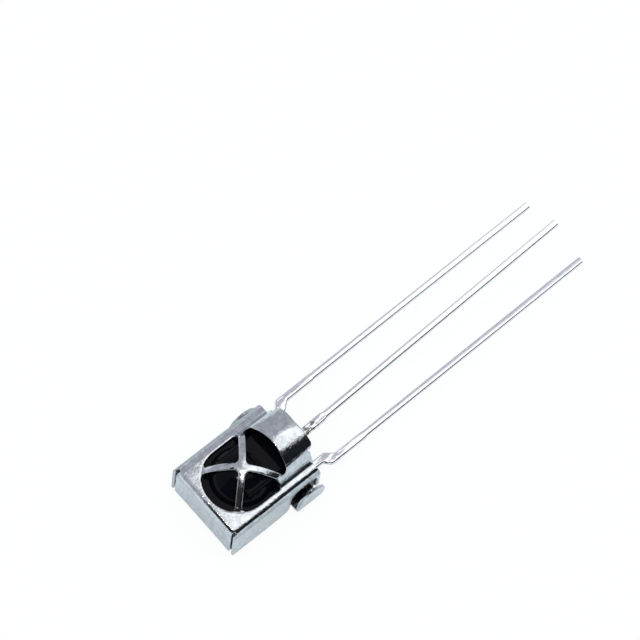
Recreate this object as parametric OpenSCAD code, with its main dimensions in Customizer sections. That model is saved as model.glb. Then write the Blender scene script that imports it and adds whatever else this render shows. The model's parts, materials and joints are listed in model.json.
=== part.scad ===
/* [Shield can] */
// Width across the side walls
can_w = 6.0; // [5.6:0.1:6.6]
// Length from the lead end to the end wall
can_l = 7.1; // [6.8:0.1:7.6]
// Height of the flat front face above the back
face_z = 3.1; // [3.0:0.1:3.5]
// Thickness of the tinned sheet
sheet = 0.2; // [0.15:0.01:0.24]
// Outer radius of the folds
fold_r = 0.35; // [0.3:0.01:0.45]
// Distance from the lead end to the lens axis
lens_to_lead_end = 4.0; // [3.9:0.1:4.2]
// Gap between the end wall and the inside of each side wall
corner_gap = 0.2; // [0.15:0.05:0.4]

/* [Hood] */
// Half width of the hood at its foot
hood_half = 2.25; // [2.15:0.05:2.3]
// Rise of the hood crown over the front face
hood_rise = 2.05; // [1.9:0.05:2.3]
// Radius of the hood shoulders
shoulder_r = 0.55; // [0.4:0.05:0.7]
// Radius of the hood crown
crown_r = 2.5; // [2.2:0.1:3.0]
// Distance from the lens axis to the end of the hood sides
hood_gap = 1.3; // [1.2:0.05:1.4]
// Reach of the drawn lip past the lead end
lip_reach = 0.35; // [0.2:0.05:0.45]

/* [Window grid] */
// Width of the grid bars
bar_w = 0.43; // [0.35:0.01:0.5]
// Rise of the bar crossing over the front face
grid_rise = 1.45; // [1.35:0.05:1.5]
// Half width of the window in the front face
window_half = 2.25; // [2.2:0.01:2.3]
// Distance from the window to the outer face of the end wall
window_edge = 0.55; // [0.5:0.05:0.7]
// Distance from the lens axis to the deepest point of the window in the hood
hood_bite = 2.42; // [2.3:0.01:2.5]

/* [Ears] */
// Gap between an ear and the side wall
ear_gap = 0.24; // [0.15:0.01:0.3]
// Radius of the round top of an ear
ear_r = 1.08; // [1.0:0.01:1.15]
// Height of the centre of that round top
ear_z = 0.95; // [0.85:0.05:1.3]
// Distance of that centre from the lead end
ear_y = 0.92; // [0.8:0.01:1.0]

/* [Leads] */
// Pitch of the leads at their tips
pitch = 2.54; // [2.54:0.01:2.54]
// Pitch of the leads where they leave the epoxy
root_pitch = 2.08; // [2.0:0.01:2.15]
// Width of the lead shanks
lead_w = 0.46; // [0.4:0.01:0.5]
// Width of the leads next to the body
root_w = 0.53; // [0.5:0.01:0.58]
// Thickness of the lead frame
lead_t = 0.38; // [0.3:0.01:0.42]
// Height of the middle of the lead frame above the back
lead_z = 1.85; // [1.75:0.05:1.95]
// Length of the leads from the lead end of the can to the tips
lead_reach = 22.7; // [20:0.1:25]
// Upward set of the two outer leads
outer_set = 3.1; // [0:0.1:8]
// Upward set of the middle lead
middle_set = 7.5; // [0:0.1:12]

/* [Epoxy body] */
// Clearance between the epoxy and the can
fit = 0.06; // [0.04:0.01:0.1]
// Rise of the lens over the front face
lens_rise = 1.15; // [1.0:0.05:1.2]
// Radius of the lens where it meets the block
lens_r = 2.05; // [1.9:0.05:2.1]
// Rise of the ridge over the front face
ridge_rise = 0.72; // [0.6:0.02:0.76]
// Half width of the ridge at its top
ridge_half = 1.5; // [1.3:0.05:1.55]

/* [Dies and wires] */
// Side of the square photodiode die
diode_side = 1.7; // [1.4:0.1:1.9]
// Size of the amplifier die
chip = [1.3, 1.0]; // [0.8:0.1:1.4]
// Gap between the two dies
die_gap = 0.25; // [0.2:0.05:0.3]
// Thickness of both dies
die_t = 0.28; // [0.2:0.02:0.32]
// Thickness of the adhesive under the dies
glue_t = 0.03; // [0.02:0.01:0.05]
// Diameter of the bond wires
wire_d = 0.05; // [0.04:0.01:0.06]

/* [Hidden] */
$fn = 48;
big = 20;
// Places along Y, measured from the lens axis
lead_end = -lens_to_lead_end;
far_end = can_l - lens_to_lead_end;
side_half = can_w / 2;
// Half width of the end wall and the back plate
plate_half = side_half - sheet - corner_gap;
// Hood outline above the face: slope, shoulder and crown
shoulder_x = 0.77 * hood_half;
shoulder_rise = 0.66 * hood_rise;
crown_slope = 35;
crown_corner = hood_rise + crown_r * (1 / cos(crown_slope) - 1);
crown_z = face_z + hood_rise;
foot_r = 0.12;
hood_end = -hood_gap;
lip_half = shoulder_x - 0.08;
// Window outline in the face, and where it bites into the hood
window_far = far_end - window_edge;
window_r = min(window_half - 0.05, window_far + hood_gap - 0.1);
opening_half = hood_half - 0.37;
bite_bow = 0.34;
bite_r = 5.0;
bite_corner = 0.3;
// Side wall cut-out beside each ear
wall_bottom = 0.12;
leg_w = 0.3;
leg_z = 1.1;
notch_far = lead_end + leg_w + 2.0;
notch_top = face_z - 0.5;
// Slot in the fold between end wall and back plate
strap_w = 0.55;
// Lead frame levels and its inner pads
frame_top = lead_z + lead_t / 2;
bend_y = lead_end - 0.45;
diode_top = frame_top + glue_t + die_t;
chip_y = -diode_side / 2 - die_gap - chip.y / 2;
island_rim = 0.3;
island_half = diode_side / 2 + island_rim;
island_far = diode_side / 2 + island_rim;
island_near = chip_y - chip.y / 2 - island_rim / 2;
post_y = lead_end + 2.3;
post_l = 1.1;
post_w = 0.45;
bond_in = 0.15;
// Jog of the outer leads, the dam bar marks and the tips, measured from the lead end
jog_y = 1.25;
jog_run = 0.6;
dam_y = 4.0;
middle_dam_y = 2.8;
dam_stub = 0.03;
tip_cut = 0.1;
// Epoxy block
block_front = lead_end + 0.05;
block_back = far_end - sheet - fit;
block_top = face_z - sheet - fit;
block_half = side_half - sheet - fit;
lens_h = face_z + lens_rise - block_top;
lens_ball = (lens_r * lens_r + lens_h * lens_h) / (2 * lens_h);
ridge_far = 0.7;
ridge_slope = 0.35;
scallop_r = 0.38;

// Unit vector along v
function unit(v) = v / norm(v);
// Signed area of two vectors: above zero where the path turns left
function turn(a, b) = a.x * b.y - a.y * b.x;
// Left-hand normal of the step from p to q
function left(p, q) = let (u = unit(q - p)) [-u.y, u.x];
function xy(p) = [p.x, p.y];
// Arc of radius r that rounds the corner b between a and c
function corner(a, b, c, r) = r <= 0 ? [b] :
    let (n = r > 1 ? 14 : 7, u = unit(a - b), w = unit(c - b), half = acos(u * w) / 2,
         m = b + unit(u + w) * (r / sin(half)),
         p = b + u * (r / tan(half)) - m, q = b + w * (r / tan(half)) - m,
         a0 = atan2(p.y, p.x), d = atan2(turn(p, q), p * q))
    [for (i = [0:n]) m + r * [cos(a0 + d * i / n), sin(a0 + d * i / n)]];
// Open path of [x, y, radius] points with its corners rounded
function rounded_path(p) = [for (i = [0:len(p) - 1])
    each (i == 0 || i == len(p) - 1) ? [xy(p[i])] : corner(xy(p[i - 1]), xy(p[i]), xy(p[i + 1]), p[i].z)];
// Closed outline of [x, y, radius] points with its corners rounded
function rounded_loop(p) = let (n = len(p)) [for (i = [0:n - 1])
    each corner(xy(p[(i + n - 1) % n]), xy(p[i]), xy(p[(i + 1) % n]), p[i].z)];
// The same open path moved t to its left, radii included
function moved_left(p, t) = let (e = len(p) - 1) [for (i = [0:e])
    let (m = i == 0 ? left(xy(p[0]), xy(p[1])) : left(xy(p[i - 1]), xy(p[i])),
         n = i == e ? m : left(xy(p[i]), xy(p[i + 1])),
         s = turn([-m.y, m.x], [-n.y, n.x]) < 0 ? 1 : -1,
         q = xy(p[i]) + (m + n) * (t / (1 + m * n)))
    [q.x, q.y, p[i].z <= 0 ? 0 : p[i].z + s * t]];
function reversed(p) = [for (i = [len(p) - 1:-1:0]) p[i]];
// The same points mirrored left to right, in reverse order
function mirrored(p) = [for (i = [len(p) - 1:-1:0]) [-p[i].x, p[i].y, p[i].z]];

// Bent sheet seen on edge: the path is its outer side, the metal lies t to the left
module bent(path, t = sheet) {
    polygon(concat(rounded_path(path), reversed(rounded_path(moved_left(path, t)))));
}

// Stand an XZ drawing up and run it from y0 to y1
module along_y(y0, y1) {
    translate([0, y1, 0]) rotate([90, 0, 0]) linear_extrude(y1 - y0) children();
}

// Stand a YZ drawing up and run it from x0 to x1
module along_x(x0, x1) {
    translate([x0, 0, 0]) rotate([90, 0, 90]) linear_extrude(x1 - x0) children();
}

// Outer side of the hood, from its left foot to its right foot
hood_line = [[-hood_half, face_z, foot_r], [-shoulder_x, face_z + shoulder_rise, shoulder_r],
             [0, face_z + crown_corner, crown_r],
             [shoulder_x, face_z + shoulder_rise, shoulder_r], [hood_half, face_z, foot_r]];
left_wall = [[-side_half, wall_bottom, 0], [-side_half, face_z, fold_r]];
right_wall = [[side_half, face_z, fold_r], [side_half, wall_bottom, 0]];

// Side walls, face and hood as one bent section
module hooded_section() bent(reversed(concat(left_wall, hood_line, right_wall)));

// Side walls and face beyond the hood
module plain_section() bent(reversed(concat(left_wall, right_wall)));

// Face, end wall and back plate as one bent section
module end_fold() {
    along_x(-plate_half, plate_half)
        bent([[hood_end, face_z, 0], [far_end, face_z, fold_r], [far_end, 0, fold_r],
              [lead_end, 0, 0]], -sheet);
}

// Lip that the hood keeps past the lead end, with a rolled edge
module hood_lip() {
    lip_end = lead_end - lip_reach;
    back = lead_end + 0.3;
    intersection() {
        along_y(lip_end, back) hooded_section();
        linear_extrude(big)
            polygon(rounded_loop([[-lip_half, lip_end, 0.25], [lip_half, lip_end, 0.25],
                                  [lip_half, back, 0], [-lip_half, back, 0]]));
        along_x(-big, big)
            polygon(rounded_loop([[lip_end, face_z + 0.5, 0], [back, face_z + 0.5, 0],
                                  [back, crown_z + 0.1, 0], [lip_end, crown_z, 0.32]]));
    }
}

// Cut-out in a side wall: a wide mouth, a thin leg at the lead end and round corners
module wall_notch() {
    along_x(plate_half, side_half + 0.1)
        polygon(rounded_loop([[lead_end - 1, -1, 0], [notch_far + 1.7, -1, 0],
                              [notch_far + 1.5, wall_bottom, 0], [notch_far + 0.1, 0.3, 0.5],
                              [notch_far, notch_top, 0.6], [lead_end + leg_w, notch_top, 0.2],
                              [lead_end + leg_w, leg_z, 0], [lead_end - 1, leg_z, 0]]));
}

// Ear: the back plate runs out under the side wall, turns up and ends in a round tab
module ear() {
    out = side_half + ear_gap + sheet;
    mid = lead_end + ear_y;
    intersection() {
        along_y(mid - ear_r, mid + ear_r)
            bent([[plate_half - 0.3, 0, 0], [out, 0, 2 * sheet], [out, ear_z + ear_r + 0.1, 0]]);
        union() {
            along_x(0, out + 0.1) translate([mid, -1]) square([ear_r, ear_z + 1]);
            translate([0, mid, ear_z]) rotate([0, 90, 0]) cylinder(r = ear_r, h = out + 0.1);
        }
    }
}

// Bars of the window grid: they leave the lens axis at these angles, counted from +X
far_angle = 45;
near_angle = -40;
far_way = [cos(far_angle), sin(far_angle)];
near_way = [cos(near_angle), sin(near_angle)];
// Centre of the round far corner of the window, on the +X side
round_at = [window_half - window_r, window_far - window_r];
// Length of a bar on its middle line, and the outward direction of the edge that it meets
far_len = far_way * round_at + sqrt(pow(far_way * round_at, 2) - round_at * round_at + window_r * window_r);
far_out = unit(far_len * far_way - round_at);
near_len = opening_half / near_way.x;
cross_r = 0.3;

// End of the bar along w, from its right side to its left side, with a flare of radius r at the edge
function bar_end(w, long, out, r_right, r_left) =
    let (h = bar_w / 2, e = [-w.y, w.x], t = [-out.y, out.x],
         p = long * w + (h * (e * out) / (w * out)) * w - h * e,
         q = long * w - (h * (e * out) / (w * out)) * w + h * e,
         a = p - 0.6 * t * sign(r_right), b = q + 0.6 * t * sign(r_left))
    [[p.x, p.y, r_right], [a.x, a.y, 0], [a.x + 0.3 * out.x, a.y + 0.3 * out.y, 0],
     [b.x + 0.3 * out.x, b.y + 0.3 * out.y, 0], [b.x, b.y, 0], [q.x, q.y, r_left]];
// Inner corner between the left side of the bar along w and the right side of the next one along v
function bar_fork(w, v) = let (h = bar_w / 2, m = unit(w + v), c = m * h / abs(turn(m, v)))
    [[c.x, c.y, cross_r]];
right_bars = concat(bar_end(near_way, near_len, [1, 0], 0.2, 0), bar_fork(near_way, far_way),
                    bar_end(far_way, far_len, far_out, 0.25, 0.25));
bar_plan = concat(right_bars, bar_fork(far_way, [-far_way.x, far_way.y]), mirrored(right_bars),
                  bar_fork([-near_way.x, near_way.y], near_way));

// Ball that the bars are drawn over: it passes through the crossing, the far feet and the near ends
near_end_z = 0.68;
foot_at = far_len * far_way;
near_at = (near_len + 0.15) * near_way;
m1 = [2 * foot_at.y, -2 * grid_rise, foot_at * foot_at - grid_rise * grid_rise];
m2 = [2 * near_at.y, 2 * (near_end_z - grid_rise),
      near_at * near_at + near_end_z * near_end_z - grid_rise * grid_rise];
ball_y = (m1.z * m2.y - m2.z * m1.y) / (m1.x * m2.y - m2.x * m1.y);
ball_z = (m1.x * m2.z - m2.x * m1.z) / (m1.x * m2.y - m2.x * m1.y);
ball_r = norm([ball_y, grid_rise - ball_z]);

// Crossed bars over the lens, ending in the face and in the sides of the hood
module grid() {
    intersection() {
        translate([0, ball_y, face_z + ball_z]) difference() {
            sphere(r = ball_r, $fn = 96);
            sphere(r = ball_r - sheet, $fn = 96);
        }
        translate([0, 0, face_z - sheet]) linear_extrude(big) polygon(rounded_loop(bar_plan));
        union() {
            translate([-big / 2, hood_end, 0]) cube([big, big, big]);
            along_y(-big, hood_end)
                polygon(concat(rounded_path(concat([[-hood_half, 0, 0]], hood_line, [[hood_half, 0, 0]]))));
        }
    }
}

// Opening of the window: wide in the face, narrower where it bites into the hood
module window_hole() {
    translate([0, 0, face_z - 1]) linear_extrude(1.5)
        polygon(rounded_loop([[-window_half, hood_end, 0], [window_half, hood_end, 0],
                              [window_half, window_far, window_r], [-window_half, window_far, window_r]]));
    translate([0, 0, face_z - 1]) linear_extrude(big)
        polygon(rounded_loop([[-opening_half, hood_end + 1, 0],
                              [-opening_half, bite_bow - hood_bite, bite_corner],
                              [0, -hood_bite, bite_r],
                              [opening_half, bite_bow - hood_bite, bite_corner],
                              [opening_half, hood_end + 1, 0]]));
}

// One folded, drawn and pierced sheet
module shield_can() color("#b4b8c2") {
    grid();
    difference() {
        union() {
            along_y(lead_end, hood_end) hooded_section();
            difference() {
                along_y(hood_end, far_end - 0.05) plain_section();
                translate([-side_half + sheet, far_end - fold_r, -1])
                    cube([can_w - 2 * sheet, 1, big]);
            }
            end_fold();
            hood_lip();
        }
        window_hole();
        for (m = [0, 1]) mirror([m, 0, 0]) {
            wall_notch();
            // Corner slot between side wall and end wall
            translate([plate_half, far_end - fold_r + 0.05, wall_bottom - 1])
                cube([corner_gap, 1, big]);
            // Relief where the lip leaves the hood
            translate([lip_half + 0.1, lead_end, face_z + 1]) cylinder(r = 0.12, h = 2);
        }
        // Long slot in the fold between end wall and back plate
        translate([-plate_half + strap_w, far_end - fold_r - 0.1, -1])
            cube([2 * (plate_half - strap_w), 1, 1 + fold_r - 0.05]);
    }
    for (m = [0, 1]) mirror([m, 0, 0]) ear();
}

// Place along Y of the tip of a lead that is set upward by angle
function tip_at(angle) = bend_y - (lead_reach + bend_y - lead_end) * cos(angle);

// Outer lead in plan, on the +X side: post, root, outward jog, shank and chamfered tip
function side_lead_plan() = let (i = root_pitch - root_w / 2, o = root_pitch + root_w / 2,
                                 s = pitch - lead_w / 2, t = pitch + lead_w / 2,
                                 tip = tip_at(outer_set), dam = lead_end - dam_y, jog = lead_end - jog_y)
    [[i, jog - 0.05, 0.3], [s - dam_stub, jog - jog_run, 0.3], [s - dam_stub, dam, 0], [s, dam - 0.1, 0],
     [s, tip + tip_cut, 0], [s + tip_cut, tip, 0], [t - tip_cut, tip, 0], [t, tip + tip_cut, 0],
     [t, dam - 0.1, 0], [t + dam_stub, dam, 0], [t + dam_stub, jog, 0.2], [o, jog + 0.4, 0.2],
     [o, post_y, 0.1], [i - post_w, post_y, 0.1], [i - post_w, post_y - post_l, 0.1],
     [i, post_y - post_l, 0.1]];

// Middle lead in plan: the island that carries both dies, a wide root, the shank and the tip
function middle_lead_plan() = let (r = root_w / 2 + dam_stub, s = lead_w / 2, tip = tip_at(middle_set),
                                   dam = lead_end - middle_dam_y)
    [[-r, dam, 0.25], [-s, dam - 0.15, 0.1], [-s, tip + tip_cut, 0],
     [-s + tip_cut, tip, 0], [s - tip_cut, tip, 0], [s, tip + tip_cut, 0],
     [s, dam - 0.15, 0.1], [r, dam, 0.25], [r, island_near, 0.15],
     [island_half, island_near, 0.1], [island_half, island_far, 0.2],
     [-island_half, island_far, 0.2], [-island_half, island_near, 0.1], [-r, island_near, 0.15]];

// Lead frame sheet, turned up by angle outside the can and cut to the plan
module frame_lead(plan, angle) {
    far = tip_at(angle) - 1;
    intersection() {
        along_x(-big, big)
            bent([[far, frame_top + (bend_y - far) * tan(angle), 0], [bend_y, frame_top, 0],
                  [far_end, frame_top, 0]], -lead_t);
        linear_extrude(big) polygon(rounded_loop(plan));
    }
}

module lead_supply() color("#d9dbde") frame_lead(side_lead_plan(), outer_set);

module lead_output() color("#d9dbde") mirror([1, 0, 0]) frame_lead(side_lead_plan(), outer_set);

module lead_ground() color("#d9dbde") frame_lead(middle_lead_plan(), middle_set);

// Flat slab w long in x and d long in y, centred at y = at, from z0 up
module slab(w, d, at, z0, h) {
    translate([-w / 2, at - d / 2, z0]) cube([w, d, h]);
}

module photodiode_adhesive() color("#c8c8cc") slab(diode_side, diode_side, 0, frame_top, glue_t);

module amplifier_adhesive() color("#c8c8cc") slab(chip.x, chip.y, chip_y, frame_top, glue_t);

module photodiode_die() color("#39415a")
    slab(diode_side, diode_side, 0, frame_top + glue_t, die_t);

module amplifier_die() color("#555a66")
    slab(chip.x, chip.y, chip_y, frame_top + glue_t, die_t);

// Bond wire: a round arc from p to q with a small flat bond at each end
module wire(p, q, spread = 80) {
    lift = 0.035;
    d = q - p;
    span = norm(d);
    run = norm([d.x, d.y]);
    ring = span / 2 / sin(spread / 2);
    for (e = [p, q]) translate(e) cylinder(d = 0.11, h = 0.06);
    translate((p + q) / 2 + [0, 0, lift]) rotate([0, 0, atan2(d.y, d.x)])
        rotate([0, -atan2(d.z, run), 0]) translate([0, 0, -ring * cos(spread / 2)])
        rotate([90, 0, 0]) rotate([0, 0, 90 - spread / 2]) rotate_extrude(angle = spread)
        translate([ring, 0]) circle(d = wire_d);
}

module bond_wires() color("#d9b45b") {
    post = [root_pitch - root_w / 2 - 0.1, post_y - 0.4];
    pad_x = chip.x / 2 - bond_in;
    pad_y = chip_y + chip.y / 2 - bond_in;
    // Photodiode to amplifier
    wire([chip.x / 4, -diode_side / 2 + bond_in, diode_top], [chip.x / 4, pad_y, diode_top]);
    // Amplifier to the output and supply posts
    wire([-pad_x, chip_y - 0.1, diode_top], [-post.x, post.y, frame_top], 60);
    wire([pad_x, chip_y - 0.1, diode_top], [post.x, post.y, frame_top], 60);
    // Amplifier to the island
    wire([-pad_x, pad_y, diode_top], [-island_half + 0.12, pad_y, frame_top], 110);
}

// Ridge section: flat top, steep sides and round shoulders
module ridge_section() {
    top = face_z + ridge_rise;
    foot = ridge_half + ridge_slope;
    polygon(rounded_loop([[-foot, 1, 0], [foot, 1, 0], [foot, block_top, 0], [ridge_half, top, 0.18],
                          [-ridge_half, top, 0.18], [-foot, block_top, 0]]));
}

// Outline of the moulded block, seen from the front
module block_plan() {
    polygon(rounded_loop([[-block_half, block_front, 0.15], [block_half, block_front, 0.15],
                          [block_half, block_back, 0.25], [-block_half, block_back, 0.25]]));
}

// Moulded block, ridge and lens, before the lead frame is taken out of it
module moulding() {
    intersection() {
        translate([0, 0, sheet]) linear_extrude(block_top - sheet) block_plan();
        along_x(-block_half, block_half)
            polygon([[block_front, sheet], [block_back - 0.15, sheet], [block_back, sheet + 0.15],
                     [block_back, block_top], [block_front, block_top]]);
    }
    along_y(block_front, ridge_far) ridge_section();
    intersection() {
        translate([0, 0, block_top + lens_h - lens_ball]) sphere(r = lens_ball);
        translate([0, 0, block_top - 0.5]) linear_extrude(big) block_plan();
    }
}

module epoxy_body() color("#101118") difference() {
    moulding();
    // Half-round scallops between the leads
    for (m = [-1, 1]) translate([m * (root_pitch / 2), lead_end, -1]) cylinder(r = scallop_r, h = lead_z + 1);
    lead_ground();
    lead_output();
    lead_supply();
    photodiode_adhesive();
    amplifier_adhesive();
    photodiode_die();
    amplifier_die();
    bond_wires();
}

shield_can();
epoxy_body();
lead_output();
lead_ground();
lead_supply();
photodiode_die();
amplifier_die();
photodiode_adhesive();
amplifier_adhesive();
bond_wires();
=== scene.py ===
# %% [markdown]
# Infrared receiver module, the kind that listens to a remote control. A can of tin-plated sheet is
# folded round a block of black epoxy, and three tinned leads leave it at one end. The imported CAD
# part is loaded first as a fixed frame in metres. Looks are then added over it, so every piece goes
# where the frame says and nothing has to be fitted by eye. The leads run along -Y, the end wall
# faces +Y, and the front with its crossed bars looks up.

# %% Load the frame
import json
import math

import bmesh
import bpy
import numpy as np
from mathutils import Matrix, Vector
from mathutils.bvhtree import BVHTree


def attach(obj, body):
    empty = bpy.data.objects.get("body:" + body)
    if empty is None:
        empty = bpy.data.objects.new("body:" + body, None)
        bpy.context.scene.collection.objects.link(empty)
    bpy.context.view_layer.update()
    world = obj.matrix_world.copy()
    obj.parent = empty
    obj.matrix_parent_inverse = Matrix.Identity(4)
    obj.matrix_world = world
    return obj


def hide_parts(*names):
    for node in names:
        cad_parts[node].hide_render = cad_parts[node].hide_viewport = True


MM = 0.001
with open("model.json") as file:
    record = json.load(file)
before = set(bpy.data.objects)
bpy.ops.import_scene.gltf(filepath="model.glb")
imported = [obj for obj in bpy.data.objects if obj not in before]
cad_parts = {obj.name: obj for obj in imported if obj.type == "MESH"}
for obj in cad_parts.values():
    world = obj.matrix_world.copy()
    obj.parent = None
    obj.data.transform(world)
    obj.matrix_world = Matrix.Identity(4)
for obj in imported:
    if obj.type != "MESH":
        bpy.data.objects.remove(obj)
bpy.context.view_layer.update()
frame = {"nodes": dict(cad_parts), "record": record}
print("nodes:", sorted(frame["nodes"]))

# %% [markdown]
# The camera looks down at about 66 degrees over the corner between a side wall and the end wall. It
# could be turned by three angles, but its right and up directions were solved from corners of the
# part, so they are given as they are. The up direction is made square to the right one.

# %% Camera
# The place is in mm, and the focal length is in pixels of a picture FRAME_PX wide
CAM_AT = Vector((-48.13, 53.66, 186.86)) * MM
CAM_RIGHT = Vector((-0.6531, -0.7535, 0.0756))
CAM_UP = Vector((0.7102, -0.5749, 0.4063))
FOCAL_PX = 3171.0
FRAME_PX = 640.0


def make_camera():
    """Camera whose lens in mm is sensor width times focal length in pixels over the frame's."""
    right = CAM_RIGHT.normalized()
    up = (CAM_UP - right * CAM_UP.dot(right)).normalized()
    data = bpy.data.cameras.new("camera")
    data.sensor_width = 36.0
    data.lens = 36.0 * FOCAL_PX / FRAME_PX
    data.clip_start = 1 * MM
    data.clip_end = 5.0
    cam = bpy.data.objects.new("camera", data)
    turn = Matrix((right, up, right.cross(up))).transposed().to_4x4()
    cam.matrix_world = Matrix.Translation(CAM_AT) @ turn
    bpy.context.collection.objects.link(cam)
    bpy.context.scene.camera = cam
    return cam


camera = make_camera()
print("camera elevation:", round(math.degrees(math.asin(camera.matrix_world.col[2].z)), 1))

# %% [markdown]
# A colour is written as the hex code that it should show on screen, and one function turns it to the
# linear light that a shader needs. A second one adds a shader node with its settings and its links.
# A third gives the scale of a pattern from how many patches of it lie on a millimetre, because a
# finish has a real size. The last starts a material with the nodes that all of them have.

# %% Colours and nodes
SMOOTH = {"interpolation_type": "SMOOTHSTEP"}
COLOUR = {"data_type": "RGBA"}


def srgb(code):
    """Linear colour of a hex code: c / 12.92 in the toe, else ((c + 0.055) / 1.055) to the 2.4."""
    rgb = np.array([int(code[i:i + 2], 16) for i in (1, 3, 5)]) / 255
    lin = np.where(rgb <= 0.04045, rgb / 12.92, ((rgb + 0.055) / 1.055) ** 2.4)
    return (*lin.tolist(), 1.0)


def add(tree, kind, settings=None, links=None):
    """A node of that kind. Each input in links takes a value, or the output that it is linked to."""
    node = tree.nodes.new(kind)
    for name, value in (settings or {}).items():
        setattr(node, name, value)
    for name, value in (links or {}).items():
        if isinstance(value, bpy.types.NodeSocket):
            tree.links.new(value, node.inputs[name])
        else:
            node.inputs[name].default_value = value
    return node


def per_mm(count):
    """Scale of a pattern that has count patches to the millimetre, for places given in metres."""
    return count / MM


def start_material(name):
    """A material with its shader and output; returns it, its tree, the shader and the place."""
    mat = bpy.data.materials.new(name)
    mat.use_nodes = True
    tree = mat.node_tree
    tree.nodes.clear()
    shader = add(tree, "ShaderNodeBsdfPrincipled")
    add(tree, "ShaderNodeOutputMaterial", {}, {"Surface": shader.outputs["BSDF"]})
    place = add(tree, "ShaderNodeTexCoord").outputs["Object"]
    return mat, tree, shader, place


print("mid grey in linear light:", round(srgb("#808080")[0], 3))

# %% [markdown]
# Bright metal has hardly any colour of its own, and what makes it read as metal is what it mirrors.
# Small parts like this are photographed in a white tent, with cards in it that draw the edges. The
# cards could be planes round the part, but a range of directions does the same and casts no shadow.
# A dark one stands on the -X side, a brown one beyond the end wall, a grey one low beyond the leads
# and a lilac one on the +X side, and below the horizon all is white. The white has strength 1, for
# the camera, for metal and for glass. Only mirrored rays meet the cards, so that each view keeps a
# white backdrop and plain light.

# %% Tent
TENT_WHITE = srgb("#ffffff")
DARK_SIDE = srgb("#12161e")
BROWN_END = srgb("#332d29")
GREY_LOW = srgb("#a9abae")
LILAC_SIDE = srgb("#c6c7d1")


def make_tent():
    """World whose colour follows the direction (x, y, z) of a ray: each card comes in along one
    axis as a smooth step between the place where it starts and the place where it is full."""
    world = bpy.data.worlds.new("tent")
    bpy.context.scene.world = world
    world.use_nodes = True
    tree = world.node_tree
    tree.nodes.clear()
    way = add(tree, "ShaderNodeTexCoord").outputs["Generated"]
    x, y, z = add(tree, "ShaderNodeSeparateXYZ", {}, {0: way}).outputs
    cards = [
        (x, -0.33, -0.44, DARK_SIDE),
        (y, 0.32, 0.46, BROWN_END),
        (y, -0.80, -0.90, GREY_LOW),
        (x, 0.19, 0.31, LILAC_SIDE),
        (z, 0.03, -0.03, TENT_WHITE),
    ]
    colour = TENT_WHITE
    for along, start, full, shade in cards:
        step = add(tree, "ShaderNodeMapRange", SMOOTH,
                   {"Value": along, "From Min": start, "From Max": full})
        colour = add(tree, "ShaderNodeMix", COLOUR,
                     {"Factor": step.outputs[0], "A": colour, "B": shade}).outputs["Result"]
    tent = add(tree, "ShaderNodeBackground", {}, {"Color": colour, "Strength": 1.0})
    plain = add(tree, "ShaderNodeBackground", {}, {"Color": TENT_WHITE, "Strength": 1.0})
    path = add(tree, "ShaderNodeLightPath")
    mirrored = add(tree, "ShaderNodeMath", {"operation": "MAXIMUM"},
                   {0: path.outputs["Is Glossy Ray"], 1: path.outputs["Is Transmission Ray"]})
    both = add(tree, "ShaderNodeMixShader", {},
               {0: mirrored.outputs[0], 1: plain.outputs[0], 2: tent.outputs[0]})
    add(tree, "ShaderNodeOutputWorld", {}, {"Surface": both.outputs[0]})
    return len(cards)


print("ranges of direction in the tent:", make_tent())

# %% [markdown]
# Two lamps add to the tent. A wide soft one stands over the lead end, where flat metal mirrors it as
# the clean white sheen of a softbox. A small one puts the bright spot on the bar beside the crossing,
# and a faint point on the lens. A sun would do neither, because bright metal shows a lamp's size.
# Both are weak, so that colours still come out as they are written.

# %% Lamps


def make_lamp(name, at, size, watts):
    """Rectangular lamp at a place in mm that faces the part. Returns its radiance, which is its
    power divided by pi times its area."""
    data = bpy.data.lights.new(name, "AREA")
    data.shape = "RECTANGLE"
    data.size = size[0] * MM
    data.size_y = size[1] * MM
    data.energy = watts
    lamp = bpy.data.objects.new(name, data)
    start = Vector(at) * MM
    turn = (-start).to_track_quat("-Z", "Y").to_matrix().to_4x4()
    lamp.matrix_world = Matrix.Translation(start) @ turn
    bpy.context.collection.objects.link(lamp)
    return watts / (math.pi * data.size * data.size_y)


wide = make_lamp("softbox_lamp", (-38, -170, 500), (400, 420), 0.36)
small = make_lamp("highlight_lamp", (10, 137, 479), (32, 32), 0.30)
print("radiance of the lamps:", round(wide, 2), round(small, 1))

# %% [markdown]
# The part lies on a sheet of nearly white card with a hint of blue. To the camera most of it is a
# white glow of its own, so that the backdrop is white right to the edges of the picture, and the rest
# is the card in the tent's light, which keeps a soft shadow. To metal it is mostly the lit card,
# because a part shades the card beside it, and its walls mirror that shade. A lit card alone would
# do for the metal, but its white would depend on the lamps.

# %% Floor
# The share of its own glow that the floor has for each kind of ray
GLOW_SHARE = {"Is Camera Ray": 0.92, "Is Glossy Ray": 0.15, "Is Transmission Ray": 0.15}
FLOOR_HALF = 600 * MM
FLOOR_UNDER = 0.02 * MM


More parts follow.
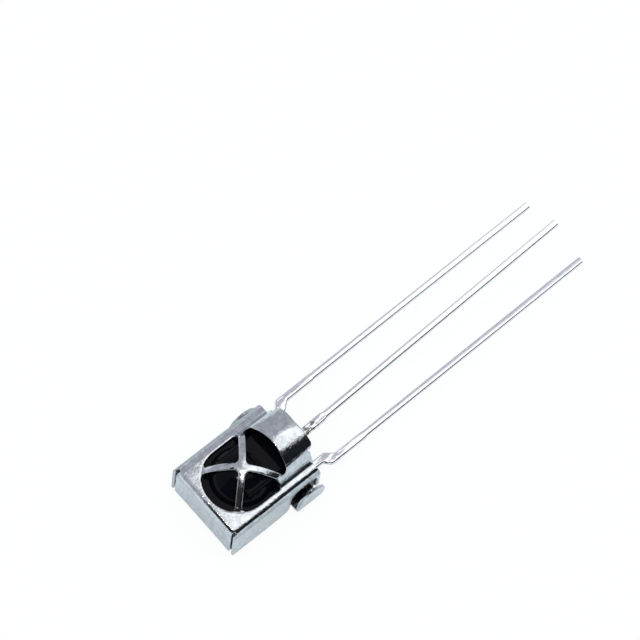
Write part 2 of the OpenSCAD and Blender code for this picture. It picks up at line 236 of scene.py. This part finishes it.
def make_floor():
    """One square just under the part, facing up."""
    mesh = bpy.data.meshes.new("floor")
    corners = [(-1, -1), (1, -1), (1, 1), (-1, 1)]
    mesh.from_pydata([(x * FLOOR_HALF, y * FLOOR_HALF, -FLOOR_UNDER) for x, y in corners],
                     [], [(0, 1, 2, 3)])
    floor = bpy.data.objects.new("floor", mesh)
    bpy.context.collection.objects.link(floor)
    mat, tree, shader, _ = start_material("floor_white_card")
    shader.inputs["Base Color"].default_value = srgb("#e6f1f8")
    shader.inputs["Roughness"].default_value = 0.9
    shader.inputs["Specular IOR Level"].default_value = 0.0
    glow = add(tree, "ShaderNodeEmission", {}, {"Color": TENT_WHITE, "Strength": 1.0})
    path = add(tree, "ShaderNodeLightPath")
    share = 0.0
    for kind, part in GLOW_SHARE.items():
        share = add(tree, "ShaderNodeMath", {"operation": "MULTIPLY_ADD"},
                    {0: path.outputs[kind], 1: part, 2: share}).outputs[0]
    both = add(tree, "ShaderNodeMixShader", {},
               {0: share, 1: shader.outputs[0], 2: glow.outputs[0]})
    tree.links.new(both.outputs[0], tree.get_output_node("ALL").inputs["Surface"])
    mesh.materials.append(mat)
    return floor


card = make_floor()
bpy.context.scene.view_settings.view_transform = "Standard"
print("floor side in mm:", round(card.dimensions.x / MM))

# %% [markdown]
# The punch leaves the edge of the window rolled over, and a fold pulls the face down a little before
# it turns. Both are far too slight for the outline, but on bright metal they turn the mirror image,
# and that draws the light line round the window and the soft bands along the folds. They could be
# modelled, but a height that is worked out from the place is exact and needs no faces.

# %% Rolled rim and pulled folds
# Height of the face over the back, in mm
FACE = 3.1
# The far side of the window is an arc round (ARC_X, ARC_Y) on the right and its mirror on the left, in mm
ARC_X, ARC_Y, ARC_R = 0.05, 0.35, 2.2
# How far the rolled edge reaches and how much it sinks, in mm
RIM_WIDTH = 0.16
RIM_DROP = 0.02
# A pull has the place where it starts, in mm, and its strength, per metre
SIDE_PULL = (2.30, 620.0)
END_PULL = (2.5, 450.0)


def pulled_down(tree, along, start, pull, height):
    """Past start the face sinks towards its fold by pull per metre times the distance squared."""
    past = add(tree, "ShaderNodeMath", {"operation": "SUBTRACT"}, {0: along, 1: start * MM})
    ahead = add(tree, "ShaderNodeMath", {"operation": "MAXIMUM"}, {0: past.outputs[0], 1: 0.0})
    square = add(tree, "ShaderNodeMath", {"operation": "MULTIPLY"},
                 {0: ahead.outputs[0], 1: ahead.outputs[0]})
    return add(tree, "ShaderNodeMath", {"operation": "MULTIPLY_ADD"},
               {0: square.outputs[0], 1: -pull, 2: height}).outputs[0]


def rolled_rim(tree, side, y, height):
    """The pierced edge sinks by RIM_DROP times (1 - d / RIM_WIDTH) squared, d from the edge."""
    right = add(tree, "ShaderNodeMath", {"operation": "SUBTRACT"}, {0: side, 1: ARC_X * MM})
    past = add(tree, "ShaderNodeMath", {"operation": "SUBTRACT"}, {0: y, 1: ARC_Y * MM})
    ahead = add(tree, "ShaderNodeMath", {"operation": "MAXIMUM"}, {0: past.outputs[0], 1: 0.0})
    way = add(tree, "ShaderNodeCombineXYZ", {}, {"X": right.outputs[0], "Y": ahead.outputs[0]})
    out = add(tree, "ShaderNodeVectorMath", {"operation": "LENGTH"}, {0: way.outputs[0]})
    near = add(tree, "ShaderNodeMapRange", {},
               {"Value": out.outputs["Value"], "From Min": ARC_R * MM,
                "From Max": (ARC_R + RIM_WIDTH) * MM, "To Min": 1.0, "To Max": 0.0})
    bend = add(tree, "ShaderNodeMath", {"operation": "MULTIPLY"},
               {0: near.outputs[0], 1: near.outputs[0]})
    return add(tree, "ShaderNodeMath", {"operation": "MULTIPLY_ADD"},
               {0: bend.outputs[0], 1: -RIM_DROP * MM, 2: height}).outputs[0]


print("slope of the rim at its edge:", round(2 * RIM_DROP / RIM_WIDTH, 2))

# %% [markdown]
# The walls of the can carry tiny pale specks, which are painted glints: the coarse grains in the tin
# sparkle, and that sparkle is painted in as paler, less metallic spots. They lie at random, about a
# tenth of a millimetre across. A cell pattern gives each cell a centre and a random colour, so a ball
# round some of the centres makes such specks where the sheet cuts it. The face was rubbed smooth by
# the drawing tool and has none.

# %% Specks on the walls: painted glints
# Just under the folds of the face, in mm
GLINT_SPECK_TOP = FACE - 0.30


def glint_speck_share(tree, place, z):
    """1 inside a painted glint, else 0: near the centre of 7 cells in 10, and below the folds."""
    cells = add(tree, "ShaderNodeTexVoronoi", {}, {"Vector": place, "Scale": per_mm(3.2)})
    dot = add(tree, "ShaderNodeMapRange", SMOOTH,
              {"Value": cells.outputs["Distance"], "From Min": 0.24, "From Max": 0.12})
    pick = add(tree, "ShaderNodeSeparateColor", {}, {0: cells.outputs["Color"]})
    some = add(tree, "ShaderNodeMath", {"operation": "GREATER_THAN"}, {0: pick.outputs[0], 1: 0.3})
    wall = add(tree, "ShaderNodeMath", {"operation": "LESS_THAN"}, {0: z, 1: GLINT_SPECK_TOP * MM})
    on_wall = add(tree, "ShaderNodeMath", {"operation": "MULTIPLY"},
                  {0: some.outputs[0], 1: wall.outputs[0]})
    return add(tree, "ShaderNodeMath", {"operation": "MULTIPLY"},
               {0: dot.outputs[0], 1: on_wall.outputs[0]}).outputs[0]


print("specks lie below, in mm:", round(GLINT_SPECK_TOP, 2))

# %% [markdown]
# The can is tin plate: steel sheet with a thin bright coat of tin, sheared, drawn and folded. It is a
# mirror that isn't flat. Drawing and folding leave it slightly bowed, and handling leaves an
# orange-peel ripple about two thirds of a millimetre wide. These are bump, because they only turn the
# mirror image. Clean tin reflects about 70 percent of the light. This coat is dulled by handling, so
# it is written at 45 to 65 percent, in a mottle of a third of a millimetre. The sheared faces show
# the steel between the coats and are rougher.

# %% Tin plate
# The bow is per metre, and the depth of the fine grain is in mm
BOW = 7.0
GRIT = 0.010


def coat_colour(tree, shader, place, z):
    """Mottled coat with paler specks, painted glints which mirror less than the coat round them."""
    mottle = add(tree, "ShaderNodeTexNoise", {},
                 {"Vector": place, "Scale": per_mm(2.6), "Detail": 4.0, "Roughness": 0.65})
    spread = add(tree, "ShaderNodeMapRange", SMOOTH,
                 {"Value": mottle.outputs["Fac"], "From Min": 0.32, "From Max": 0.68})
    coat = add(tree, "ShaderNodeMix", COLOUR,
               {"Factor": spread.outputs[0], "A": srgb("#b1b6bb"), "B": srgb("#ccd0d3")})
    # The specks are painted glints: paler and less metallic than the coat round them
    glint_speck = glint_speck_share(tree, place, z)
    tone = add(tree, "ShaderNodeMix", COLOUR,
               {"Factor": glint_speck, "A": coat.outputs["Result"], "B": srgb("#e6ecef")})
    tree.links.new(tone.outputs["Result"], shader.inputs["Base Color"])
    metal = add(tree, "ShaderNodeMath", {"operation": "MULTIPLY_ADD"}, {0: glint_speck, 1: -0.7, 2: 1.0})
    tree.links.new(metal.outputs[0], shader.inputs["Metallic"])


def tin_plate(name, rough, ripple, rim=False):
    """Tin plate: the mirror is turned by a bow of x squared times BOW per metre, then by the ripple,
    whose depth is in mm, then by a grain of an eighth of a millimetre."""
    mat, tree, shader, place = start_material(name)
    x, y, z = add(tree, "ShaderNodeSeparateXYZ", {}, {0: place}).outputs
    coat_colour(tree, shader, place, z)
    haze = add(tree, "ShaderNodeTexNoise", {},
               {"Vector": place, "Scale": per_mm(1.4), "Detail": 3.0, "Roughness": 0.6})
    dull = add(tree, "ShaderNodeMapRange", {},
               {"Value": haze.outputs["Fac"], "To Min": rough - 0.06, "To Max": rough + 0.06})
    tree.links.new(dull.outputs[0], shader.inputs["Roughness"])
    square = add(tree, "ShaderNodeMath", {"operation": "MULTIPLY"}, {0: x, 1: x})
    height = add(tree, "ShaderNodeMath", {"operation": "MULTIPLY"},
                 {0: square.outputs[0], 1: -BOW}).outputs[0]
    if rim:
        side = add(tree, "ShaderNodeMath", {"operation": "ABSOLUTE"}, {0: x}).outputs[0]
        height = rolled_rim(tree, side, y, height)
        height = pulled_down(tree, side, *SIDE_PULL, height)
        height = pulled_down(tree, y, *END_PULL, height)
    peel = add(tree, "ShaderNodeTexNoise", {},
               {"Vector": place, "Scale": per_mm(1.5), "Detail": 3.0, "Roughness": 0.55})
    grain = add(tree, "ShaderNodeTexNoise", {},
                {"Vector": place, "Scale": per_mm(8.0), "Detail": 2.0, "Roughness": 0.5})
    bump = add(tree, "ShaderNodeBump", {}, {"Height": height, "Strength": 1.0, "Distance": 1.0})
    for field, depth in ((peel, ripple), (grain, GRIT)):
        bump = add(tree, "ShaderNodeBump", {},
                   {"Height": field.outputs["Fac"], "Strength": 1.0, "Distance": depth * MM,
                    "Normal": bump.outputs[0]})
    tree.links.new(bump.outputs[0], shader.inputs["Normal"])
    return mat


tin = tin_plate("tin_plate", 0.14, 0.024, rim=True)
cut_steel = tin_plate("sheared_edge", 0.45, 0.03)
print(tin.name, "has", len(tin.node_tree.nodes), "nodes")

# %% [markdown]
# The block is cast epoxy, dyed so that it lets infrared through and looks black. Its mould is
# polished, so it is smooth and glossy, and the dye is a hair blue. The mould release leaves it with a
# fainter mirror than bare epoxy, so its specular level lies below the usual half.

# %% Black epoxy
EPOXY_MIRROR = 0.07


def black_epoxy():
    """Cast epoxy: IOR 1.5, nearly smooth, with a faint bloom of 1.1 mm patches in its gloss."""
    mat, tree, shader, place = start_material("cast_black_epoxy")
    cloud = add(tree, "ShaderNodeTexNoise", {},
                {"Vector": place, "Scale": per_mm(0.9), "Detail": 2.0})
    tone = add(tree, "ShaderNodeMix", COLOUR,
               {"Factor": cloud.outputs["Fac"], "A": srgb("#05060a"), "B": srgb("#090a10")})
    tree.links.new(tone.outputs["Result"], shader.inputs["Base Color"])
    gloss = add(tree, "ShaderNodeMapRange", {},
                {"Value": cloud.outputs["Fac"], "To Min": 0.04, "To Max": 0.10})
    tree.links.new(gloss.outputs[0], shader.inputs["Roughness"])
    shader.inputs["IOR"].default_value = 1.5
    shader.inputs["Specular IOR Level"].default_value = EPOXY_MIRROR
    return mat


epoxy = black_epoxy()
print(epoxy.name, "specular level:", EPOXY_MIRROR)

# %% [markdown]
# The leads are stamped from steel sheet as one comb and dipped in molten solder tin afterwards. The
# dip rounds their edges and freezes in soft lumps, two thirds of a millimetre wide and two and a half
# times as long, deepest next to the body. They could be sculpted, but a noise stretched along the lead
# bends the mirror image in the same way. The middle lead is stained grey where it leaves the block,
# by flux that was baked there.

# %% Dipped leads
# Half the width that only the middle lead takes up, and places along the leads, in mm
MIDDLE_HALF = 0.6
STAIN_FROM, STAIN_TO = -6.35, -6.05
LUMPS_FROM, LUMPS_TO = -8.2, -5.2


def root_stain(tree, place, side, along):
    """Share of the grey stain: blotches of 0.3 mm, near x = 0 only, growing towards the block."""
    half = add(tree, "ShaderNodeMath", {"operation": "ABSOLUTE"}, {0: side})
    middle = add(tree, "ShaderNodeMath", {"operation": "LESS_THAN"},
                 {0: half.outputs[0], 1: MIDDLE_HALF * MM})
    root = add(tree, "ShaderNodeMapRange", SMOOTH,
               {"Value": along, "From Min": STAIN_FROM * MM, "From Max": STAIN_TO * MM})
    at_root = add(tree, "ShaderNodeMath", {"operation": "MULTIPLY"},
                  {0: middle.outputs[0], 1: root.outputs[0]})
    blotch = add(tree, "ShaderNodeTexNoise", {},
                 {"Vector": place, "Scale": per_mm(3.2), "Detail": 2.0, "Roughness": 0.5})
    dark = add(tree, "ShaderNodeMapRange", SMOOTH,
               {"Value": blotch.outputs["Fac"], "From Min": 0.58, "From Max": 0.42})
    return add(tree, "ShaderNodeMath", {"operation": "MULTIPLY"},
               {0: at_root.outputs[0], 1: dark.outputs[0]}).outputs[0]


def dipped_tin():
    """Dipped tin: a fine grain of 0.2 mm in its colour and gloss, and lumps stretched along Y."""
    mat, tree, shader, place = start_material("dipped_tin")
    side, along, _ = add(tree, "ShaderNodeSeparateXYZ", {}, {0: place}).outputs
    grain = add(tree, "ShaderNodeTexNoise", {},
                {"Vector": place, "Scale": per_mm(5.2), "Detail": 3.0, "Roughness": 0.6})
    bright = add(tree, "ShaderNodeMix", COLOUR,
                 {"Factor": grain.outputs["Fac"], "A": srgb("#d3d6da"), "B": srgb("#eff0f2")})
    tone = add(tree, "ShaderNodeMix", COLOUR,
               {"Factor": root_stain(tree, place, side, along), "A": bright.outputs["Result"],
                "B": srgb("#7b7a76")})
    tree.links.new(tone.outputs["Result"], shader.inputs["Base Color"])
    shader.inputs["Metallic"].default_value = 1.0
    dull = add(tree, "ShaderNodeMapRange", {},
               {"Value": grain.outputs["Fac"], "To Min": 0.12, "To Max": 0.26})
    tree.links.new(dull.outputs[0], shader.inputs["Roughness"])
    stretch = add(tree, "ShaderNodeMapping", {}, {"Vector": place, "Scale": (1.0, 0.4, 1.0)})
    lumps = add(tree, "ShaderNodeTexNoise", {},
                {"Vector": stretch.outputs[0], "Scale": per_mm(1.6), "Detail": 2.0,
                 "Roughness": 0.5})
    near = add(tree, "ShaderNodeMapRange", SMOOTH,
               {"Value": along, "From Min": LUMPS_FROM * MM, "From Max": LUMPS_TO * MM,
                "To Min": 0.25, "To Max": 4.2})
    height = add(tree, "ShaderNodeMath", {"operation": "MULTIPLY"},
                 {0: lumps.outputs["Fac"], 1: near.outputs[0]})
    bump = add(tree, "ShaderNodeBump", {},
               {"Height": height.outputs[0], "Strength": 1.0, "Distance": 0.035 * MM})
    tree.links.new(bump.outputs[0], shader.inputs["Normal"])
    return mat


lead_tin = dipped_tin()
print(lead_tin.name, "has", len(lead_tin.node_tree.nodes), "nodes")

# %% [markdown]
# Inside the epoxy, where only a cut would show them, are two silicon dies on silver-filled adhesive
# and the gold bond wires. Polished silicon is a dark blue-grey mirror, the adhesive is matt grey, and
# gold keeps its own yellow as a metal. They differ only in numbers, so one function makes them all.

# %% Dies, adhesive and wires


def inner_finish(name, dark, light, grain, metal, rough):
    """A finish that varies from dark to light, with grain patches to the millimetre."""
    mat, tree, shader, place = start_material(name)
    patch = add(tree, "ShaderNodeTexNoise", {},
                {"Vector": place, "Scale": per_mm(grain), "Detail": 3.0})
    tone = add(tree, "ShaderNodeMix", COLOUR,
               {"Factor": patch.outputs["Fac"], "A": srgb(dark), "B": srgb(light)})
    tree.links.new(tone.outputs["Result"], shader.inputs["Base Color"])
    shader.inputs["Metallic"].default_value = metal
    shader.inputs["Roughness"].default_value = rough
    return mat


silicon = inner_finish("polished_silicon", "#39415a", "#454d68", 3.0, 0.0, 0.15)
adhesive = inner_finish("silver_adhesive", "#b4b4b8", "#c8c8cc", 5.0, 0.0, 0.6)
gold = inner_finish("gold_wire", "#d9b45b", "#e6c36e", 5.0, 1.0, 0.2)
print("inner finishes:", silicon.name, adhesive.name, gold.name)

# %% [markdown]
# Each node of the frame names the finish that its real piece has. The nodes of the block and of the
# pieces inside it are shown as the CAD made them, so they get their material here.

# %% Finish of each node
FINISHES = {
    "tinned_sheet": tin,
    "black_epoxy": epoxy,
    "tinned_lead": lead_tin,
    "silicon": silicon,
    "die_adhesive": adhesive,
    "gold": gold,
}
SLOTS = {part["node"]: part["material_slot"] for part in frame["record"]["subparts"]}
for node_name, slot_name in SLOTS.items():
    node = frame["nodes"][node_name]
    node.data.materials.clear()
    node.data.materials.append(FINISHES[slot_name])
print("finishes:", sorted(FINISHES))

# %% [markdown]
# A CAD mesh has dead sharp edges and one flat normal on each triangle. No real edge is that sharp,
# and it is the narrow rounded edge that catches the light. The can and the three leads are each
# copied, the copy's corners are merged and its coplanar triangles joined, and then every edge steeper
# than 38 degrees is rounded. Edges this small are rounded in millimetres and scaled back, because the
# tool's tolerances suit that size, and a point that it throws off the surface is put back on it.
# Corner normals are weighted by area, so that flats stay flat.

# %% Rounded copies
SHARP = math.radians(38.0)
FLAT = math.radians(0.6)
# Corners closer than MERGE are one, and a cut face is narrower than CUT_WIDTH, in mm
MERGE = 0.002
CUT_WIDTH = 0.22
# How far a point may stray from the old surface, in radii of the edge
STRAY = 0.6


def is_sharp(edge):
    """An edge between two faces that meet more steeply than SHARP."""
    return edge.is_manifold and edge.calc_face_angle(0) > SHARP


def is_cut(face):
    """A sheared face is a sheet wide, which is 2 x area / outline, and sharp along most of it."""
    around = sum(e.calc_length() for e in face.edges)
    hard = sum(e.calc_length() for e in face.edges if is_sharp(e))
    top = face.calc_center_median().z > FACE and abs(face.normal.z) > 0.5
    return 2 * face.calc_area() < CUT_WIDTH * around and hard > 0.45 * around and not top


def merged(mesh, reshape):
    """The mesh in mm, reshaped, with doubled corners merged, flats joined and cut faces marked."""
    co = np.empty(len(mesh.vertices) * 3, np.float32)
    mesh.vertices.foreach_get("co", co)
    co = co.reshape(-1, 3) / MM
    if reshape:
        co = reshape(co)
    mesh.vertices.foreach_set("co", co.ravel())
    bm = bmesh.new()
    bm.from_mesh(mesh)
    bmesh.ops.remove_doubles(bm, verts=bm.verts, dist=MERGE)
    bmesh.ops.dissolve_degenerate(bm, dist=MERGE, edges=bm.edges)
    bmesh.ops.dissolve_limit(bm, angle_limit=FLAT, verts=bm.verts, edges=bm.edges)
    bm.normal_update()
    for face in bm.faces:
        face.material_index = int(is_cut(face))
    return bm


def round_edges(bm, radius, y_from):
    """Rounds the sharp edges whose middle has y over y_from. Points that stray off go back."""
    before = BVHTree.FromBMesh(bm)
    edges = [e for e in bm.edges
             if is_sharp(e) and (e.verts[0].co.y + e.verts[1].co.y) / 2 > y_from]
    bmesh.ops.bevel(bm, geom=edges, offset=radius, offset_type="OFFSET", segments=2,
                    profile=0.5, affect="EDGES", clamp_overlap=False)
    for vert in bm.verts:
        spot, _, _, away = before.find_nearest(vert.co)
        if away > STRAY * radius:
            vert.co = spot


def rounded_copy(name, radius, y_from, finishes, reshape=None):
    """Merged and rounded copy of a node; finishes are the coat's and the cut faces' materials."""
    mesh = frame["nodes"][name].data.copy()
    mesh.name = name + "_rounded"
    bm = merged(mesh, reshape)
    round_edges(bm, radius, y_from)
    bmesh.ops.scale(bm, vec=(MM, MM, MM), verts=bm.verts)
    bm.to_mesh(mesh)
    bm.free()
    mesh.materials.clear()
    mesh.polygons.foreach_set("use_smooth", np.ones(len(mesh.polygons), bool))
    for finish in finishes:
        mesh.materials.append(finish)
    piece = bpy.data.objects.new(name + "_rounded", mesh)
    bpy.context.collection.objects.link(piece)
    even = piece.modifiers.new("even", "WEIGHTED_NORMAL")
    even.weight = 80
    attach(piece, "root")
    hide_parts(name)
    return piece


print("edges steeper than", round(math.degrees(SHARP)), "degrees are rounded")

# %% [markdown]
# The crossed bars are drawn out of the same sheet, and their feet run level into the face. The CAD
# cuts the bars from a ball, which passes a tenth of a millimetre over or under the face beside each
# far foot. In the copy the feet are settled: a point is lowered by the ball's height over the face at
# the window's edge, times a smooth step that grows from FOOT_RUN inside the edge. Moving the points
# of the copy keeps the bars' thickness, which a cut would not.

# %% Feet of the bars
# The sheet, the ball that the bars follow, the run of a foot and what counts as level, in mm
SHEET = 0.2
BALL_Y, BALL_Z, BALL_R = -0.5786, 1.0192, 3.5779
FOOT_RUN = 1.2
LEVEL = 1e-3


def settle_feet(co):
    """Ball height over the face is BALL_Z + sqrt(BALL_R^2 - x^2 - (y - BALL_Y)^2) - FACE."""
    x, y, z = co.T
    out = np.hypot(np.abs(x) - ARC_X, y - ARC_Y)
    to_edge = np.maximum(ARC_R / np.maximum(out, 1e-6), 1.0)
    edge_x = (np.abs(x) - ARC_X) * to_edge + ARC_X
    edge_y = (y - ARC_Y) * to_edge + ARC_Y
    under_root = np.maximum(BALL_R ** 2 - edge_x ** 2 - (edge_y - BALL_Y) ** 2, 0)
    over = BALL_Z + np.sqrt(under_root) - FACE
    t = np.clip((out - ARC_R + FOOT_RUN) / FOOT_RUN, 0, 1)
    share = t * t * (3 - 2 * t)
    settled = z - over * share
    settled = np.where((out >= ARC_R - 0.005) & (z > FACE), FACE, settled)
    on_face = (np.abs(z - FACE) < LEVEL) | (np.abs(z - FACE + SHEET) < LEVEL)
    on_bar = (y > ARC_Y) & (out < ARC_R + 0.4) & (z > FACE - 0.4) & ~on_face
    return np.stack([x, y, np.where(on_bar, settled, z)], axis=1)


can = rounded_copy("shield_can", 0.045, -math.inf, (tin, cut_steel), reshape=settle_feet)
print("faces on the can:", len(can.data.polygons))

# %% [markdown]
# The dip leaves the edges of the leads rounder than those of the can. The tips are cut to length
# after it, so their edges stay sharp and only those nearer the body are rounded.

# %% Leads
# Edges with y under TIP_CUT, in mm, belong to the cut tips
LEADS = ("lead_output", "lead_ground", "lead_supply")
TIP_CUT = -26.0
leads = [rounded_copy(name, 0.13, TIP_CUT, (lead_tin, lead_tin)) for name in LEADS]
print("faces on a lead:", len(leads[0].data.polygons))
